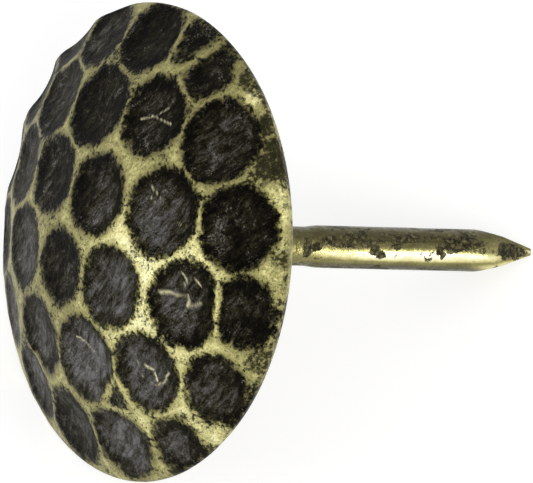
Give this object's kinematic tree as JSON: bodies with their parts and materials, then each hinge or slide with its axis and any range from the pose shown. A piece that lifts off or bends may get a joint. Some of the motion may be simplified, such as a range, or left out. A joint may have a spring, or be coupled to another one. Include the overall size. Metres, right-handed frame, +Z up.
{
  "type": "upholstery tack",
  "caption": "Hammered dome-headed upholstery tack with a straight wire pin and a four-sided point, in antiqued brass finish.",
  "frame": {"origin": "centre of the bounding box, on the surface that the tack lies on", "axes": "+Z up; the tack lies on a flat of its rim and the tip of its pin, with the pin pointing along +X and down, and the dome towards -X and up"},
  "size_m": [0.0126, 0.011, 0.0099],
  "materials": {
    "hammered_brass": "antiqued: dark patina in the hammer marks, rubbed bright brass on the ridges between them",
    "pin_brass": "antiqued: bright brass with dark patina patches"
  },
  "bodies": {
    "root": {"hammered_cap": "hammered_brass", "pin": "pin_brass"}
  },
  "joints": []
}
